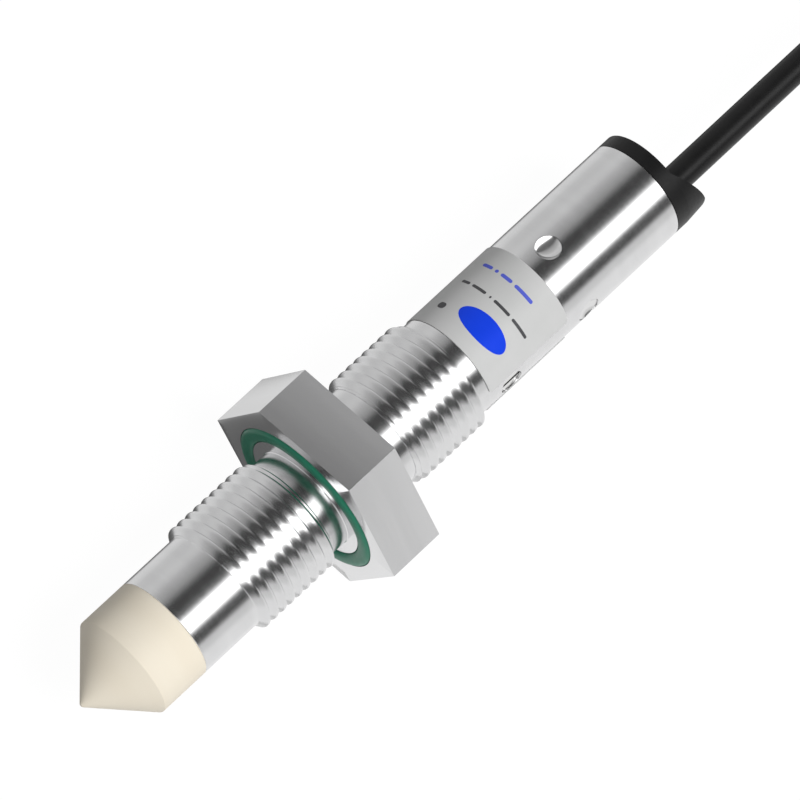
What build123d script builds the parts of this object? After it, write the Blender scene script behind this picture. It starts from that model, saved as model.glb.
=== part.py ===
from build123d import *
import math
import os

# Capacitive level sensor with a turned steel housing, a pointed plastic sensing tip and a fixed lead.
# All sizes are in millimetres. The origin is the centre of the hexagon's front face, on the sensor's
# axis. X runs from the tip towards the lead, Z points up out of the hexagon's top flat, and the sensor
# lies on the opposite flat.

# Lengths of the housing's stretches, from the tip's seam back to the rear end
sleeve_length = 5.7
front_thread_length = 10.0
front_neck_length = 1.9
hex_thickness = 5.73
rear_neck_length = 2.9
rear_thread_length = 8.57
barrel_length = 25.8

# Diameters and walls of the housing
thread_diameter = 12.0
body_diameter = 10.5
hex_across_flats = 19.0
barrel_wall = 0.75
stop_collar_height = 0.7
stop_collar_thickness = 1.5

# Sensing tip
tip_rim_length = 5.1
tip_cone_half_angle = 45.0
tip_nose_radius = 0.35
tip_stem_length = 9.6
tip_stem_wall = 1.07
tip_cone_wall = 1.2

# Seals
face_seal_diameter = 14.5
face_seal_section = 1.5
face_seal_proud = 0.5
inner_seal_section = 0.6
inner_seal_groove_width = 1.0
tip_seal_from_seam = 3.0
cap_seal_from_disc = 2.4

# Sensing parts inside the tip
electrode_wall = 0.4
electrode_skirt_length = 3.9
electrode_seat_radius = 1.0
spool_plug_length = 2.8
spool_flange_thickness = 1.4
guard_length = 8.5
guard_wall = 0.4
pin_radius = 0.4
pin_reach_on_board = 6.0
guard_lead_radius = 0.18

# Circuit board and what holds it
holder_length = 5.0
holder_slot_depth = 3.0
board_thickness = 1.0
board_to_bore_gap = 0.17
board_to_guide_gap = 0.08
board_end_from_barrel_end = 6.5
board_step_before_windows = 2.2
pad_thickness = 0.06
pad_length = 2.2
pad_width = 0.95
core_pad_spacing = 1.3
lead_thickness = 0.15

# Parts on the circuit board, as length, width and height, with their places along it
oscillator_size = (4.9, 3.9, 1.5)
oscillator_from_front = 12.0
controller_size = (5.0, 4.2, 1.2)
controller_from_front = 20.0
regulator_size = (2.9, 1.6, 1.1)
regulator_before_step = 2.0
transistor_size = (2.9, 1.5, 1.0)
transistor_after_trimmer = 4.6
diode_size = (4.2, 2.4, 1.8)
diode_from_front = 18.0
capacitor_size = (2.0, 1.25, 0.9)
filter_capacitors_from_front = 8.6
filter_capacitor_spacing = 2.8
supply_capacitor_from_front = 7.0
output_capacitor_before_end = 2.2
resistor_size = (1.6, 0.8, 0.5)
resistor_row_from_front = 12.0
resistor_spacing = 1.6
resistor_pair_after_transistor = 3.2
lamp_size = (2.0, 1.25, 0.5)
lamp_lens_radius = 0.55

# Windows and the light guide behind them
window_diameter = 2.5
window_before_barrel_end = 11.9
window_count = 4
window_recess = 0.04
window_dish_radius = 2.6
light_guide_length = 3.6
light_guide_wall = 0.85

# Sensitivity trimmer
trimmer_before_barrel_end = 22.0
trimmer_base_length = 3.8
trimmer_base_width = 3.6
trimmer_floor = 0.5
trimmer_chamber_radius = 1.42
trimmer_chamber_depth = 1.0
trimmer_roof = 0.8
trimmer_shaft_radius = 0.7
trimmer_flange_radius = 1.0
trimmer_lug_half_angle = 10.0
trimmer_turn = 135.0
trimmer_stop_spare_angle = 4.0
trimmer_head_thickness = 1.0
trimmer_head_recess = 0.25
trimmer_slot_width = 0.4
trimmer_slot_depth = 0.45

# End cap
cap_disc_thickness = 1.5
cap_spigot_length = 4.3
cap_wedge_slope = 29.5
cap_wedge_toward = 202.0
cap_wedge_from_axis = 0.64
cap_wedge_draft = 5.0
cap_edge_radius = 0.35

# Lead
cable_diameter = 2.8
cable_from_axis = 1.67
cable_toward = 200.0
cable_end_inside_spigot = 1.0
ferrule_length = 2.0
ferrule_wall = 0.33
core_radius = 0.42
core_from_cable_centre = 0.5

# Label, a printed film round the barrel with a bare strip at the trimmer
label_start_from_thread = 1.1
label_length = 10.15
label_thickness = 0.08
label_first_edge = 164.5
label_angle = 324.0

# Put-away length of the lead, folded into an oval hank that lies on the surface
hank_run_length = 44.0
hank_fold_radius = 8.45
hank_columns = 3
hank_layers = 4
hank_edge_radius = 1.3
hank_lead_in_length = 9.2
hank_turn_inset = 0.05
hank_tail_angle = 40.0
tie_thickness = 0.25
tie_width = 3.0
tie_gap_sides = 0.15
tie_from_fold = 30.0
free_core_length = 22.0
core_fan_angle = 12.0
core_settled_angle = 4.5
core_straight_length = 2.8
core_drop_length = 5.2
bare_wire_radius = 0.25
bare_wire_length = 5.0

# Clearances
seat_gap = 0.02
slip_gap = 0.03
running_gap = 0.05

# Radii that the diameters give
body_radius = body_diameter / 2
thread_radius = thread_diameter / 2
thread_chamfer = thread_radius - body_radius
bore_radius = body_radius - barrel_wall
collar_radius = bore_radius - stop_collar_height
window_radius = window_diameter / 2
cable_radius = cable_diameter / 2
insert_radius = bore_radius - slip_gap

# Places along the axis
front_neck_start = -front_neck_length
front_thread_start = front_neck_start - front_thread_length
tip_seam = front_thread_start - sleeve_length
cone_base = tip_seam - tip_rim_length
cone_slope = math.tan(math.radians(tip_cone_half_angle))
tip_apex = cone_base - body_radius / cone_slope
rear_neck_end = hex_thickness + rear_neck_length
rear_thread_end = rear_neck_end + rear_thread_length
barrel_end = rear_thread_end + barrel_length
stem_end = tip_seam + tip_stem_length
collar_front = stem_end + seat_gap
collar_rear = collar_front + stop_collar_thickness
window_x = barrel_end - window_before_barrel_end
trimmer_x = barrel_end - trimmer_before_barrel_end
board_end = barrel_end - board_end_from_barrel_end
board_step = window_x - board_step_before_windows
holder_front = collar_rear + seat_gap
holder_rear = holder_front + holder_length
board_front = holder_rear - holder_slot_depth + seat_gap
spigot_front = barrel_end - cap_spigot_length
cable_start = spigot_front + cable_end_inside_spigot
floor_z = -hex_across_flats / 2

# The board stands upright beside the electrode pin, which lies on its near face
board_near_y = pin_radius + seat_gap + pad_thickness + seat_gap
board_far_y = board_near_y + board_thickness

# Its edges keep clear of the bore in front, and of the light guide's inside behind the step
board_front_half_width = math.sqrt((bore_radius - board_to_bore_gap) ** 2 - board_far_y**2)
guide_inner_radius = insert_radius - light_guide_wall
board_rear_half_width = math.sqrt((guide_inner_radius - board_to_guide_gap) ** 2 - board_far_y**2)

# Where the lead leaves the cap
cable_y = cable_from_axis * math.cos(math.radians(cable_toward))
cable_z = cable_from_axis * math.sin(math.radians(cable_toward))


def turned(*points):
    """A body turned about the sensor's axis, from its half section as (x, radius) points."""
    section = make_face(Polyline(*[(x, 0, radius) for x, radius in points], close=True))
    return revolve(section, axis=Axis.X)


def tube_along_axis(start, end, outer_radius, inner_radius):
    return turned((start, inner_radius), (end, inner_radius), (end, outer_radius), (start, outer_radius))


def rod_along_axis(start, end, radius, y=0.0, z=0.0):
    return extrude(Plane(origin=(start, y, z), z_dir=(1, 0, 0)) * Circle(radius), amount=end - start)


def ring_seal(x, mean_radius, section):
    """A round-section sealing ring about the sensor's axis."""
    plane = Plane(origin=(x, 0, mean_radius), x_dir=(1, 0, 0), z_dir=(0, 1, 0))
    return revolve(plane * Circle(section / 2), axis=Axis.X)


def radial_plane(x, angle, height=0.0):
    """A plane that faces out of the barrel at an angle from +Y towards +Z."""
    outward = (0, math.cos(math.radians(angle)), math.sin(math.radians(angle)))
    origin = (x, height * outward[1], height * outward[2])
    return Plane(origin=origin, x_dir=(1, 0, 0), z_dir=outward)


def radial_rod(x, angle, start, end, radius):
    return extrude(radial_plane(x, angle, start) * Circle(radius), amount=end - start)


def wire_through(points, radius):
    """A round wire along straight runs joined by the largest arcs that the runs allow."""
    places = [Vector(*point) for point in points]
    runs = [after - before for before, after in zip(places, places[1:])]
    radii = []
    for before, after in zip(runs, runs[1:]):
        half_turn = math.radians(before.get_angle(after)) / 2
        radii.append(0.45 * min(before.length, after.length) / math.tan(half_turn))
    path = FilletPolyline(*places, radius=radii)
    section = Plane(origin=places[0], z_dir=runs[0]) * Circle(radius)
    return sweep(section, path=path), path, radii


def window_angles():
    return [index * 360 / window_count for index in range(window_count)]


def make_housing():
    """One turned piece: sleeve, thread stretches at their crests, necks, hexagon and barrel."""
    outside = turned(
        (tip_seam, 0),
        (tip_seam, body_radius),
        (front_thread_start, body_radius),
        (front_thread_start + thread_chamfer, thread_radius),
        (front_neck_start - thread_chamfer, thread_radius),
        (front_neck_start, body_radius),
        (rear_neck_end, body_radius),
        (rear_neck_end + thread_chamfer, thread_radius),
        (rear_thread_end - thread_chamfer, thread_radius),
        (rear_thread_end, body_radius),
        (barrel_end, body_radius),
        (barrel_end, 0),
    )
    hexagon = extrude(
        Plane.YZ * RegularPolygon(hex_across_flats / 2, 6, major_radius=False), amount=hex_thickness
    )
    bore = turned(
        (tip_seam - 1, 0),
        (tip_seam - 1, bore_radius),
        (collar_front, bore_radius),
        (collar_front, collar_radius),
        (collar_rear, collar_radius),
        (collar_rear, bore_radius),
        (barrel_end + 1, bore_radius),
        (barrel_end + 1, 0),
    )
    seal_groove = tube_along_axis(
        -1,
        face_seal_section - face_seal_proud + seat_gap,
        face_seal_diameter / 2 + face_seal_section / 2 + running_gap,
        face_seal_diameter / 2 - face_seal_section / 2 - running_gap,
    )
    housing = outside + hexagon - bore - seal_groove
    for angle in window_angles():
        housing -= radial_rod(window_x, angle, bore_radius / 2, thread_radius, window_radius)
    housing -= radial_rod(trimmer_x, 180, bore_radius / 2, thread_radius, window_radius)
    return housing


def make_face_seal():
    return ring_seal(face_seal_section / 2 - face_seal_proud, face_seal_diameter / 2, face_seal_section)


# The tip's cavity follows its cone at an even wall
stem_radius = bore_radius - slip_gap
cavity_radius = stem_radius - tip_stem_wall
cone_wall_along_axis = tip_cone_wall / math.sin(math.radians(tip_cone_half_angle))
cavity_apex = tip_apex + cone_wall_along_axis
cavity_cone_base = cavity_apex + cavity_radius / cone_slope


def make_sensing_tip():
    """Machined plastic nose: a cone with a small round nose, a rim flush with the sleeve, a stem."""
    nose_along = tip_nose_radius / math.sin(math.radians(tip_cone_half_angle))
    nose_centre = tip_apex + nose_along
    touch_angle = math.radians(90 - tip_cone_half_angle)
    touch = (nose_centre - tip_nose_radius * math.sin(math.pi / 2 - touch_angle),
             tip_nose_radius * math.cos(math.pi / 2 - touch_angle))
    middle_angle = math.radians(90 - tip_cone_half_angle) / 2
    middle = (nose_centre - tip_nose_radius * math.cos(middle_angle), tip_nose_radius * math.sin(middle_angle))
    front = (nose_centre - tip_nose_radius, 0)
    groove_radius = stem_radius - inner_seal_section
    groove_start = tip_seam + tip_seal_from_seam
    outline = [
        touch,
        (cone_base, body_radius),
        (tip_seam - seat_gap, body_radius),
        (tip_seam - seat_gap, stem_radius),
        (groove_start, stem_radius),
        (groove_start, groove_radius),
        (groove_start + inner_seal_groove_width, groove_radius),
        (groove_start + inner_seal_groove_width, stem_radius),
        (stem_end, stem_radius),
        (stem_end, cavity_radius),
        (cavity_cone_base, cavity_radius),
        (cavity_apex, 0),
        front,
    ]
    nose = ThreePointArc(*[(x, 0, radius) for x, radius in (front, middle, touch)])
    section = make_face(Polyline(*[(x, 0, radius) for x, radius in outline]) + nose)
    return revolve(section, axis=Axis.X)


def make_tip_seal():
    x = tip_seam + tip_seal_from_seam + inner_seal_groove_width / 2
    return ring_seal(x, bore_radius - inner_seal_section / 2 - slip_gap, inner_seal_section - slip_gap)


# The electrode cup lies in the cavity, and the spool keeps the guard ring apart from it
electrode_radius = cavity_radius - slip_gap
electrode_inner_radius = electrode_radius - electrode_wall
electrode_apex = cavity_apex + 2 * slip_gap
electrode_cone_base = electrode_apex + electrode_radius / cone_slope
electrode_rear = cavity_cone_base + electrode_skirt_length
inner_cone_apex = electrode_apex + electrode_wall / math.sin(math.radians(tip_cone_half_angle))
pin_front = inner_cone_apex + electrode_seat_radius / cone_slope
spool_front = electrode_rear - spool_plug_length
spool_flange_front = electrode_rear + seat_gap
guard_front = spool_flange_front + spool_flange_thickness + seat_gap
guard_rear = guard_front + guard_length
spool_radius = electrode_inner_radius - slip_gap


def make_sensing_electrode():
    return turned(
        (electrode_apex, 0),
        (electrode_cone_base, electrode_radius),
        (electrode_rear, electrode_radius),
        (electrode_rear, electrode_inner_radius),
        (inner_cone_apex + electrode_inner_radius / cone_slope, electrode_inner_radius),
        (pin_front, electrode_seat_radius),
        (pin_front, 0),
    )


def make_insulator_spool():
    hole = pin_radius + slip_gap
    return turned(
        (spool_front, hole),
        (spool_front, spool_radius),
        (spool_flange_front, spool_radius),
        (spool_flange_front, electrode_radius),
        (spool_flange_front + spool_flange_thickness, electrode_radius),
        (spool_flange_front + spool_flange_thickness, spool_radius),
        (guard_rear - guard_wall, spool_radius),
        (guard_rear - guard_wall, hole),
    )


def make_guard_ring():
    return tube_along_axis(guard_front, guard_rear, electrode_radius, electrode_radius - guard_wall)


def make_electrode_pin():
    return rod_along_axis(pin_front + seat_gap, board_front + pin_reach_on_board, pin_radius)


# The guard's lead runs straight back from the ring's end face to its pad on the board
guard_lead_y = board_near_y - 2 * seat_gap - pad_thickness - guard_lead_radius
guard_middle_radius = electrode_radius - guard_wall / 2
guard_lead_z = -math.sqrt(guard_middle_radius**2 - guard_lead_y**2)


def make_guard_lead():
    end = board_front + pin_reach_on_board
    return rod_along_axis(guard_rear + seat_gap, end, guard_lead_radius, guard_lead_y, guard_lead_z)


def make_board_holder():
    holder = rod_along_axis(holder_front, holder_rear, insert_radius)
    slot = Pos(board_front - seat_gap, 0, 0) * Box(
        holder_slot_depth + 1,
        board_thickness + 2 * slip_gap,
        2 * (board_front_half_width + slip_gap),
        align=(Align.MIN, Align.CENTER, Align.CENTER),
    )
    slot = Pos(0, (board_near_y + board_far_y) / 2, 0) * slot
    pin_channel = Pos(holder_front - 1, 0, 0) * Box(
        holder_length + 2,
        board_near_y + slip_gap,
        2 * (pin_radius + slip_gap),
        align=(Align.MIN, Align.MIN, Align.CENTER),
    )
    pin_hole = rod_along_axis(holder_front - 1, holder_rear + 1, pin_radius + slip_gap)
    lead_hole = rod_along_axis(
        holder_front - 1, holder_rear + 1, guard_lead_radius + slip_gap, guard_lead_y, guard_lead_z
    )
    pad_room = Pos(board_front - seat_gap, board_near_y, 0) * Box(
        holder_slot_depth + 1,
        2 * (pad_thickness + slip_gap),
        2 * board_front_half_width - 2,
        align=(Align.MIN, Align.CENTER, Align.CENTER),
    )
    return holder - slot - pin_channel - pin_hole - lead_hole - pad_room


def make_circuit_board():
    """Upright board, stepped in behind the trimmer so that the light guide passes over its rear end."""
    outline = make_face(
        Polyline(
            (board_front, board_near_y, -board_front_half_width),
            (board_step, board_near_y, -board_front_half_width),
            (board_step, board_near_y, -board_rear_half_width),
            (board_end, board_near_y, -board_rear_half_width),
            (board_end, board_near_y, board_rear_half_width),
            (board_step, board_near_y, board_rear_half_width),
            (board_step, board_near_y, board_front_half_width),
            (board_front, board_near_y, board_front_half_width),
            close=True,
        )
    )
    return extrude(outline, amount=board_thickness, dir=(0, 1, 0))


def near_face(x, z=0.0):
    """A plane just off the board's near face, facing away from the board."""
    return Plane(origin=(x, board_near_y - seat_gap, z), x_dir=(1, 0, 0), z_dir=(0, -1, 0))


def far_face(x, z=0.0):
    return Plane(origin=(x, board_far_y + seat_gap, z), x_dir=(1, 0, 0), z_dir=(0, 1, 0))


def on_face(length, width, height, x=0.0, y=0.0, above=0.0):
    """A block whose foot stands at a height above the board."""
    return Pos(x, y, above) * Box(length, width, height, align=(Align.CENTER, Align.CENTER, Align.MIN))


def leaded_chip(length, width, height, leads_each_side, lead_width=0.35, lead_reach=0.6):
    """A moulded package with bent leads along its two long sides, soldered flat."""
    body = on_face(length, width, height - lead_thickness, above=lead_thickness)
    shoulder = height * 0.45
    elbow = width / 2 + lead_reach / 2
    for index in range(leads_each_side):
        x = (index - (leads_each_side - 1) / 2) * length / leads_each_side
        for side in (-1, 1):
            body += on_face(lead_width, lead_reach, lead_thickness, x, side * width / 2, shoulder)
            body += on_face(lead_width, lead_thickness, shoulder + lead_thickness, x, side * elbow)
            body += on_face(
                lead_width, lead_reach / 2, lead_thickness, x, side * (elbow + lead_reach / 4)
            )
    return body


def end_capped_chip(length, width, height):
    """A chip capacitor or resistor: a slightly smaller body between two plated ends."""
    end = length * 0.22
    body = on_face(length - end, width - 0.08, height - 0.08, above=0.04)
    for side in (-1, 1):
        body += on_face(end, width, height, side * (length - end) / 2)
    return body


# Places of the board's parts, measured from its front end, its step, its rear end and the trimmer
oscillator_x = board_front + oscillator_from_front
controller_x = board_front + controller_from_front
regulator_x = board_step - regulator_before_step
transistor_x = trimmer_x + transistor_after_trimmer
diode_x = board_front + diode_from_front


def make_oscillator_chip():
    return far_face(oscillator_x) * leaded_chip(*oscillator_size, 4)


def make_controller_chip():
    return far_face(controller_x) * leaded_chip(*controller_size, 6, lead_width=0.25, lead_reach=0.7)


def make_voltage_regulator():
    return far_face(regulator_x) * leaded_chip(*regulator_size, 3)


def make_output_transistor():
    return near_face(transistor_x) * leaded_chip(*transistor_size, 2)


def make_protection_diode():
    return near_face(diode_x) * end_capped_chip(*diode_size)


def make_chip_capacitors():
    filter_x = board_front + filter_capacitors_from_front
    side = filter_capacitor_spacing / 2
    places = [
        near_face(filter_x, side),
        near_face(filter_x, -side),
        far_face(board_front + supply_capacitor_from_front),
        far_face(board_end - output_capacitor_before_end),
    ]
    return [place * end_capped_chip(*capacitor_size) for place in places]


def make_chip_resistors():
    row_x = board_front + resistor_row_from_front
    rows = [(index - 1.5) * resistor_spacing for index in range(4)]
    places = [near_face(row_x, offset) for offset in rows]
    pair_x = transistor_x + resistor_pair_after_transistor
    places += [near_face(pair_x, offset) for offset in (-resistor_spacing, resistor_spacing)]
    return [place * end_capped_chip(*resistor_size) for place in places]


def make_status_led():
    length, width, height = lamp_size
    base = on_face(length, width, height)
    lens = Pos(0, 0, height) * (Sphere(lamp_lens_radius) & on_face(length, length, height + lamp_lens_radius))
    return base + lens


# Pads for the electrode pin, the guard lead and the lead's three cores
core_pad_x = board_end - 1.4
core_pad_zs = [-core_pad_spacing, 0.0, core_pad_spacing]


def make_solder_pads():
    pin_pad_x = board_front + pin_reach_on_board - pad_length / 2
    places = [(pin_pad_x, 0.0), (pin_pad_x, guard_lead_z)] + [(core_pad_x, z) for z in core_pad_zs]
    return [near_face(x, z) * on_face(pad_length, pad_width, pad_thickness) for x, z in places]


def make_light_guide():
    """Clear ring behind the windows, which carries the lamps' light round to all of them."""
    start = window_x - light_guide_length / 2
    return tube_along_axis(start, start + light_guide_length, insert_radius, guide_inner_radius)


def make_led_window(angle):
    """A clear plug in the barrel's wall, with a dished outer face."""
    lowest_rim = math.sqrt(body_radius**2 - window_radius**2)
    top = lowest_rim - window_recess
    bottom = bore_radius - slip_gap + seat_gap
    plug = radial_rod(window_x, angle, bottom, top, window_radius - seat_gap)
    dish_height = top + math.sqrt(window_dish_radius**2 - (window_radius - seat_gap) ** 2)
    return plug - radial_plane(window_x, angle, dish_height) * Sphere(window_dish_radius)


# Heights of the trimmer above the sensor's axis, on the side of the board's near face
trimmer_foot = -(board_near_y - seat_gap)
chamber_floor = trimmer_foot + trimmer_floor
chamber_roof = chamber_floor + trimmer_chamber_depth
trimmer_top = chamber_roof + trimmer_roof
trimmer_head_top = body_radius - trimmer_head_recess
trimmer_head_bottom = trimmer_head_top - trimmer_head_thickness


def sector(inner_radius, outer_radius, middle_angle, half_angle):
    """A flat sector of a ring, as a face about a plane's origin."""
    ring = Circle(outer_radius) - Circle(inner_radius)
    reach = 2 * outer_radius
    wedge = make_face(
        Polyline(
            (0, 0),
            (reach, reach * math.tan(math.radians(half_angle))),
            (reach, -reach * math.tan(math.radians(half_angle))),
            close=True,
        )
    )
    return ring & (Rot(0, 0, middle_angle) * wedge)


def make_trimmer_body():
    """Open chamber with a roof that keeps the rotor in, and a stop that its lug runs against."""
    foot = radial_plane(trimmer_x, 180, trimmer_foot)
    block = extrude(foot * Rectangle(trimmer_base_length, trimmer_base_width), amount=trimmer_top - trimmer_foot)
    chamber = radial_rod(trimmer_x, 180, chamber_floor, chamber_roof, trimmer_chamber_radius)
    neck = radial_rod(trimmer_x, 180, chamber_roof, trimmer_top + 1, trimmer_shaft_radius + running_gap)
    stop_half_angle = 180 - trimmer_turn - trimmer_lug_half_angle - trimmer_stop_spare_angle
    stop = extrude(
        radial_plane(trimmer_x, 180, chamber_floor)
        * sector(trimmer_flange_radius + running_gap, trimmer_chamber_radius + running_gap, 180, stop_half_angle),
        amount=trimmer_chamber_depth,
    )
    return block - chamber - neck + stop


def make_trimmer_screw():
    """The rotor: a flange with a stop lug in the chamber, a shaft, and a slotted head in the wall."""
    flange_bottom = chamber_floor + running_gap
    flange_top = chamber_roof - running_gap
    flange = radial_rod(trimmer_x, 180, flange_bottom, flange_top, trimmer_flange_radius)
    lug = extrude(
        radial_plane(trimmer_x, 180, flange_bottom)
        * sector(
            trimmer_flange_radius / 2,
            trimmer_chamber_radius - running_gap,
            0,
            trimmer_lug_half_angle,
        ),
        amount=flange_top - flange_bottom,
    )
    shaft = radial_rod(trimmer_x, 180, flange_bottom, trimmer_head_bottom, trimmer_shaft_radius)
    head = radial_rod(
        trimmer_x, 180, trimmer_head_bottom, trimmer_head_top, window_radius - running_gap
    )
    slot = radial_plane(trimmer_x, 180, trimmer_head_top) * Box(
        3 * window_radius, trimmer_slot_width, 2 * trimmer_slot_depth
    )
    return flange + lug + shaft + head - slot


def make_end_cap():
    """Moulded cap: a plug with a seal groove, a disc, and a sloping wedge on the lead's side."""
    groove_radius = insert_radius - inner_seal_section
    groove_end = barrel_end - cap_seal_from_disc + inner_seal_groove_width
    disc_start = barrel_end + seat_gap
    disc_end = disc_start + cap_disc_thickness
    plug = turned(
        (spigot_front, 0),
        (spigot_front, insert_radius),
        (groove_end - inner_seal_groove_width, insert_radius),
        (groove_end - inner_seal_groove_width, groove_radius),
        (groove_end, groove_radius),
        (groove_end, insert_radius),
        (disc_start, insert_radius),
        (disc_start, body_radius),
        (disc_end, body_radius),
        (disc_end, 0),
    )
    toward = Vector(0, math.cos(math.radians(cap_wedge_toward)), math.sin(math.radians(cap_wedge_toward)))
    slope = math.tan(math.radians(cap_wedge_slope))
    rise = (body_radius - cap_wedge_from_axis) * slope
    draft = math.tan(math.radians(cap_wedge_draft))
    buried = disc_end - cap_disc_thickness / 2
    stub = turned(
        (buried, 0),
        (buried, body_radius),
        (disc_end, body_radius),
        (disc_end + 1.2 * rise, body_radius - 1.2 * rise * draft),
        (disc_end + 1.2 * rise, 0),
    )
    crest_reach = (body_radius + cap_wedge_from_axis * slope * draft) / (1 + slope * draft)
    crest_x = disc_end + (crest_reach - cap_wedge_from_axis) * slope
    profile = make_face(
        Polyline(
            (buried, cap_wedge_from_axis - (disc_end - buried) / slope),
            (crest_x, crest_reach),
            (disc_end, body_radius),
            (buried, body_radius),
            close=True,
        )
    )
    crest = profile.vertices().sort_by(Axis.X)[-1]
    side = Plane(origin=(0, 0, 0), x_dir=(1, 0, 0), z_dir=Vector(1, 0, 0).cross(toward))
    wedge = stub & extrude(side * fillet([crest], cap_edge_radius), amount=2 * body_radius, both=True)
    cable_hole = rod_along_axis(spigot_front - 1, disc_end + 2 * rise, cable_radius + running_gap, cable_y, cable_z)
    ferrule_hole = rod_along_axis(
        spigot_front - 1,
        cable_start + ferrule_length + 2 * ferrule_wall,
        cable_radius + ferrule_wall + 2 * running_gap,
        cable_y,
        cable_z,
    )
    return plug + wedge - cable_hole - ferrule_hole


def make_cap_seal():
    x = barrel_end - cap_seal_from_disc + inner_seal_groove_width / 2
    return ring_seal(x, bore_radius - inner_seal_section / 2 - slip_gap, inner_seal_section - slip_gap)


def make_cable_ferrule():
    start = cable_start + ferrule_wall
    ring = Circle(cable_radius + ferrule_wall) - Circle(cable_radius + seat_gap)
    return extrude(Plane(origin=(start, cable_y, cable_z), z_dir=(1, 0, 0)) * ring, amount=ferrule_length)


def core_offsets():
    """Where the three cores lie in the lead's section: two low and one above them."""
    angles = [math.radians(angle) for angle in (210, 90, 330)]
    return [(core_from_cable_centre * math.cos(a), core_from_cable_centre * math.sin(a)) for a in angles]


def make_inner_core(index):
    """One core from the cut end of the jacket, up to its pad on the board's near face."""
    across, up = core_offsets()[index]
    y = cable_y + up
    z = cable_z + across
    pad_y = board_near_y - 2 * seat_gap - pad_thickness - core_radius
    pad_z = core_pad_zs[index]
    points = [
        (cable_start - seat_gap, y, z),
        (spigot_front - 0.2, y, z),
        (board_end - 0.6, pad_y, pad_z),
        (core_pad_x - pad_length / 2, pad_y, pad_z),
    ]
    return wire_through(points, core_radius)[0]


def make_label():
    """A thin film round most of the barrel, open along the strip where the trimmer is."""
    start = rear_thread_end + label_start_from_thread
    inner_radius = body_radius + seat_gap
    section = make_face(
        Polyline(
            (start, inner_radius, 0),
            (start + label_length, inner_radius, 0),
            (start + label_length, inner_radius + label_thickness, 0),
            (start, inner_radius + label_thickness, 0),
            close=True,
        )
    )
    return Rot(label_first_edge - label_angle, 0, 0) * revolve(section, axis=Axis.X, revolution_arc=label_angle)


# The lead's way from the jacket's cut end inside the cap to the hank, as points chosen by hand
hank_bottom = floor_z + tie_thickness + running_gap
lying_z = hank_bottom + cable_radius + hank_turn_inset
cable_points = [
    (cable_start, cable_y, cable_z),
    (70.3, cable_y, cable_z),
    (82.3, -9.0, lying_z),
    (92.25, -9.0, lying_z),
]

# The hank's place follows from the lead's last run, along X, which goes on as its outer turn
hank_inner_radius = hank_fold_radius - cable_radius - hank_turn_inset
hank_width = hank_columns * cable_diameter
hank_height = hank_layers * cable_diameter
hank_outer_radius = hank_inner_radius + hank_width
hank_mean_radius = hank_inner_radius + hank_width / 2
hank_near_x = cable_points[-1][0] + hank_lead_in_length
hank_far_x = hank_near_x + hank_run_length
hank_y = cable_points[-1][1] + hank_outer_radius - cable_radius - hank_turn_inset
hank_top = hank_bottom + hank_height
hank_middle_z = (hank_bottom + hank_top) / 2
tail_y = hank_y - hank_mean_radius
tail_z = hank_top + cable_radius - hank_turn_inset


def make_cable():
    solid, path, radii = wire_through(cable_points, cable_radius)
    expected = path.length * math.pi * cable_radius**2
    print("cable arc radii", [round(radius, 1) for radius in radii])
    print("cable volume", round(solid.volume, 2), "section times length", round(expected, 2))
    print("cable length outside the hank", round(path.length, 1))
    return solid


def make_cable_coil():
    """The closed outer shape of the hank's turns, with the first and last turns' free ends."""
    section_plane = Plane(origin=(hank_near_x, tail_y, hank_middle_z), x_dir=(0, 1, 0), z_dir=(1, 0, 0))
    section = section_plane * RectangleRounded(hank_width, hank_height, hank_edge_radius)
    near_run = extrude(section, amount=hank_run_length)
    far_run = Pos(0, 2 * hank_mean_radius, 0) * near_run
    near_fold = revolve(section, axis=Axis((hank_near_x, hank_y, 0), (0, 0, -1)), revolution_arc=180)
    far_fold = revolve(
        Pos(hank_run_length, 0, 0) * section,
        axis=Axis((hank_far_x, hank_y, 0), (0, 0, 1)),
        revolution_arc=180,
    )
    lead_in = extrude(
        Plane(origin=cable_points[-1], z_dir=(1, 0, 0)) * Circle(cable_radius), amount=hank_lead_in_length
    )
    tail = revolve(
        Plane(origin=(hank_near_x, tail_y, tail_z), z_dir=(1, 0, 0)) * Circle(cable_radius),
        axis=Axis((hank_near_x, hank_y, 0), (0, 0, -1)),
        revolution_arc=hank_tail_angle,
    )
    return near_run + near_fold + far_run + far_fold + lead_in + tail


def make_cable_tie():
    """A flat tie round the whole hank."""
    plane = Plane(origin=(hank_near_x + tie_from_fold, hank_y, hank_middle_z), x_dir=(0, 1, 0), z_dir=(1, 0, 0))
    width = 2 * (hank_outer_radius + tie_gap_sides)
    height = hank_height + 2 * running_gap
    corner = hank_edge_radius
    band = RectangleRounded(width + 2 * tie_thickness, height + 2 * tie_thickness, corner + tie_thickness)
    band -= RectangleRounded(width, height, corner)
    return extrude(plane * band, amount=tie_width / 2, both=True)


def free_core_points(index):
    """One core of the stripped end: straight out of the jacket, then down onto the hank's top."""
    across, up = core_offsets()[index]
    side = 1 - index
    fan = math.radians(side * core_fan_angle)
    settled = math.radians(side * core_settled_angle)
    start = Vector(hank_near_x + seat_gap, tail_y - across, tail_z + up)
    first = start + Vector(core_straight_length, 0, 0)
    second = first + Vector(math.cos(fan), math.sin(fan), 0) * core_drop_length
    second = Vector(second.X, second.Y, hank_top + core_radius + running_gap)
    lying_length = free_core_length - core_straight_length - core_drop_length
    last = second + Vector(math.cos(settled), math.sin(settled), 0) * lying_length
    return [start, first, second, last]


def make_free_core(index):
    return wire_through([tuple(point) for point in free_core_points(index)], core_radius)[0]


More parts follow.
